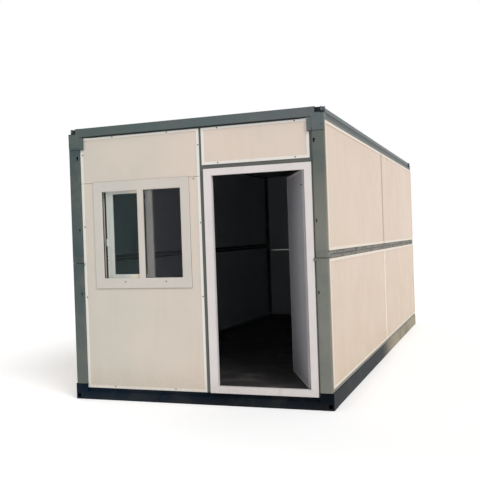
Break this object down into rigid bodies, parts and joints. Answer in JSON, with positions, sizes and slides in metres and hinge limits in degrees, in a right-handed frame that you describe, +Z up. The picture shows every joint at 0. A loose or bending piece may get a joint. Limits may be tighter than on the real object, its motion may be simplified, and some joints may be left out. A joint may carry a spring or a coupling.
{
  "type": "folding container house",
  "caption": "Fold-flat steel cabin with sandwich-panel walls, folding side walls, a hinged door and a sliding window.",
  "frame": {"origin": "on the ground under the middle of the floor frame", "axes": "+X to the right when facing the front wall, +Y from the front wall to the rear wall, +Z up"},
  "size_m": [2.5, 5.9, 2.56],
  "materials": {
    "painted_steel": "satin grey-green paint, dusty",
    "inner_steel": "satin primer",
    "wall_panel": "satin cream steel skin",
    "roof_sheet": "satin",
    "ceiling_panel": "satin",
    "floor_board": "matte board",
    "window_white": "satin white",
    "window_glass": "clear, slightly grey",
    "door_frame_white": "satin white",
    "door_panel": "satin light grey",
    "door_edge_white": "satin white",
    "hinge_steel": "satin"
  },
  "bodies": {
    "house": {"floor_front_beam": "painted_steel", "floor_rear_beam": "painted_steel", "floor_left_beam": "painted_steel", "floor_right_beam": "painted_steel", "floor_corners": "painted_steel", "roof_front_beam": "painted_steel", "roof_rear_beam": "painted_steel", "roof_left_beam": "painted_steel", "roof_right_beam": "painted_steel", "roof_corners": "painted_steel", "right_lower_wall_frame": "painted_steel", "right_upper_wall_frame": "painted_steel", "left_lower_wall_frame": "painted_steel", "left_upper_wall_frame": "painted_steel", "right_fold_hinges": "painted_steel", "left_fold_hinges": "painted_steel", "front_wall_frame": "painted_steel", "rear_wall_frame": "painted_steel", "floor_joists": "inner_steel", "roof_purlins": "inner_steel", "right_lower_wall_panels": "wall_panel", "right_upper_wall_panels": "wall_panel", "left_lower_wall_panels": "wall_panel", "left_upper_wall_panels": "wall_panel", "window_bay_panel": "wall_panel", "window_bay_top_panel": "wall_panel", "transom_panel": "wall_panel", "rear_lower_panel": "wall_panel", "rear_upper_panel": "wall_panel", "roof_sheet": "roof_sheet", "ceiling_lining": "ceiling_panel", "floor_deck": "floor_board", "window_frame": "window_white", "window_sash": "window_white", "window_latch": "window_white", "window_fixed_glass": "window_glass", "window_sash_glass": "window_glass", "door_hinge_jamb": "door_frame_white", "door_lock_jamb": "door_frame_white", "door_head": "door_frame_white", "door_threshold": "door_frame_white"},
    "door": {"door_leaf": "door_panel", "door_edge": "door_edge_white", "door_hinges": "hinge_steel"}
  },
  "joints": [
    {"name": "door_hinge", "type": "hinge", "parent": "house", "child": "door", "pos_m": [1.064, -2.855, 0], "axis": [0, 0, 1], "range_deg": [-25, 65]}
  ]
}
